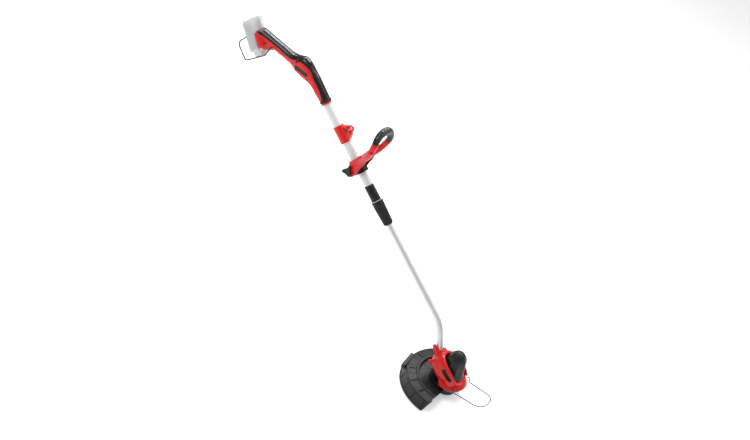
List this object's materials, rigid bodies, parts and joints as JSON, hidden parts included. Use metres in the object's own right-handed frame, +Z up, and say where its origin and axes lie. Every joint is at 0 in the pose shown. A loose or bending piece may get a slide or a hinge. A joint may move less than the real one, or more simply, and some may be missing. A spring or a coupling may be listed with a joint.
{
  "type": "cordless lawn edger",
  "caption": "Cordless string trimmer and lawn edger: rear grip with slide-on pack, telescopic bent shaft, tilting loop handle, motor head with half guard.",
  "frame": {"origin": "on the spool axis at the underside of the spool cap, where the head touches the ground", "axes": "+Z up along the spool axis, +X forward away from the user, +Y to the user's left"},
  "size_m": [1.4438, 0.3598, 0.8628],
  "materials": {
    "red_shell": "satin red moulded nylon",
    "black_shell": "fine spark-eroded black nylon",
    "soft_grip": "soft-touch black overmould",
    "white_tube": "pale grey powder coat",
    "silver_tube": "satin anodised",
    "steel": "zinc plated",
    "dark_wire": "dark satin coating",
    "copper": "bare metal",
    "frosted_pack": "frosted translucent",
    "pale_plastic": "natural nylon",
    "board": "glass-epoxy board",
    "line": "nylon monofilament"
  },
  "bodies": {
    "rear_unit": {"housing_right": "red_shell", "housing_left": "red_shell", "top_cover": "black_shell", "grip_cover": "soft_grip", "housing_badge_left": "black_shell", "housing_badge_right": "black_shell", "housing_screw_1": "steel", "housing_screw_2": "steel", "housing_screw_3": "steel", "front_band": "black_shell", "trigger_pin": "steel", "main_switch": "black_shell", "trigger_spring": "steel", "control_board": "board", "power_lead": "black_shell", "terminal_block": "black_shell", "terminal_blade_left": "copper", "terminal_blade_right": "copper", "battery_bumper": "dark_wire", "upper_tube": "white_tube", "strap_bracket_right": "red_shell", "strap_bracket_left": "red_shell", "strap_screw": "steel", "telescope_collar": "black_shell", "collet": "pale_plastic", "clamp_front": "black_shell", "clamp_rear": "red_shell"},
    "trigger": {"trigger": "red_shell"},
    "lock": {"lock_button": "black_shell"},
    "speed": {"speed_button": "black_shell"},
    "battery": {"battery_case": "frosted_pack", "battery_cells": "steel"},
    "latch": {"battery_latch": "black_shell"},
    "loop": {"loop_frame": "red_shell", "loop_grip": "soft_grip", "clamp_nut": "steel"},
    "knob": {"star_knob": "black_shell", "clamp_bolt": "steel"},
    "sleeve": {"lock_sleeve": "black_shell"},
    "slider": {"guide_bush": "pale_plastic"},
    "lower_unit": {"lower_tube": "silver_tube", "motor_lead": "black_shell", "yoke": "red_shell", "head_badge_left": "black_shell", "head_badge_right": "black_shell", "head_cover": "red_shell", "motor_cap": "black_shell", "motor_plate": "black_shell", "motor_can": "steel", "brush_cap": "black_shell", "guard": "black_shell", "line_cutter": "steel"},
    "spool_unit": {"rotor": "copper", "spool_housing": "black_shell", "spool": "pale_plastic", "spool_spring": "steel", "spool_cap": "black_shell", "cutting_line_1": "line", "cutting_line_2": "line"},
    "guide": {"flower_guard": "steel"}
  },
  "joints": [
    {"name": "trigger_pull", "type": "hinge", "parent": "rear_unit", "child": "trigger", "pos_m": [-1.04303, 0, 0.80294], "axis": [0, 1, 0], "range_deg": [0, 5.5], "stiffness_Nm_per_rad": 5, "springref_deg": -1.72, "deforming": ["trigger_spring"]},
    {"name": "lock_push", "type": "slide", "parent": "rear_unit", "child": "lock", "axis": [0, 1, 0], "range_m": [0, 0.004], "stiffness_N_per_m": 800, "springref_m": -0.002},
    {"name": "speed_push", "type": "slide", "parent": "rear_unit", "child": "speed", "axis": [-0.4586, 0, -0.8886], "range_m": [0, 0.003], "stiffness_N_per_m": 800, "springref_m": -0.002},
    {"name": "battery_slide", "type": "slide", "parent": "rear_unit", "child": "battery", "axis": [0.6534, 0, -0.757], "range_m": [0, 0.12]},
    {"name": "latch_press", "type": "slide", "parent": "battery", "child": "latch", "axis": [-0.6534, 0, 0.757], "range_m": [0, 0.003], "stiffness_N_per_m": 800, "springref_m": -0.002},
    {"name": "loop_tilt", "type": "hinge", "parent": "rear_unit", "child": "loop", "pos_m": [-0.66529, 0, 0.57632], "axis": [0, -1, 0], "range_deg": [-25, 30]},
    {"name": "knob_turn", "type": "hinge", "parent": "loop", "child": "knob", "pos_m": [-0.66529, -0.04, 0.57632], "axis": [0, 1, 0], "range_deg": [0, 720]},
    {"name": "sleeve_twist", "type": "hinge", "parent": "rear_unit", "child": "sleeve", "pos_m": [-0.49631, 0, 0.4905], "axis": [-0.8271, 0, 0.5621], "range_deg": [0, 90]},
    {"name": "shaft_slide", "type": "slide", "parent": "rear_unit", "child": "slider", "axis": [-0.8271, 0, 0.5621], "range_m": [0, 0.2]},
    {"name": "head_turn", "type": "hinge", "parent": "slider", "child": "lower_unit", "pos_m": [-0.49631, 0, 0.4905], "axis": [-0.8271, 0, 0.5621], "range_deg": [0, 180]},
    {"name": "spool_spin", "type": "hinge", "parent": "lower_unit", "child": "spool_unit", "pos_m": [0, 0, 0], "axis": [0, 0, 1], "continuous": true},
    {"name": "guide_fold", "type": "hinge", "parent": "lower_unit", "child": "guide", "pos_m": [0.052, 0, 0.066], "axis": [0, -1, 0], "range_deg": [0, 80]}
  ]
}
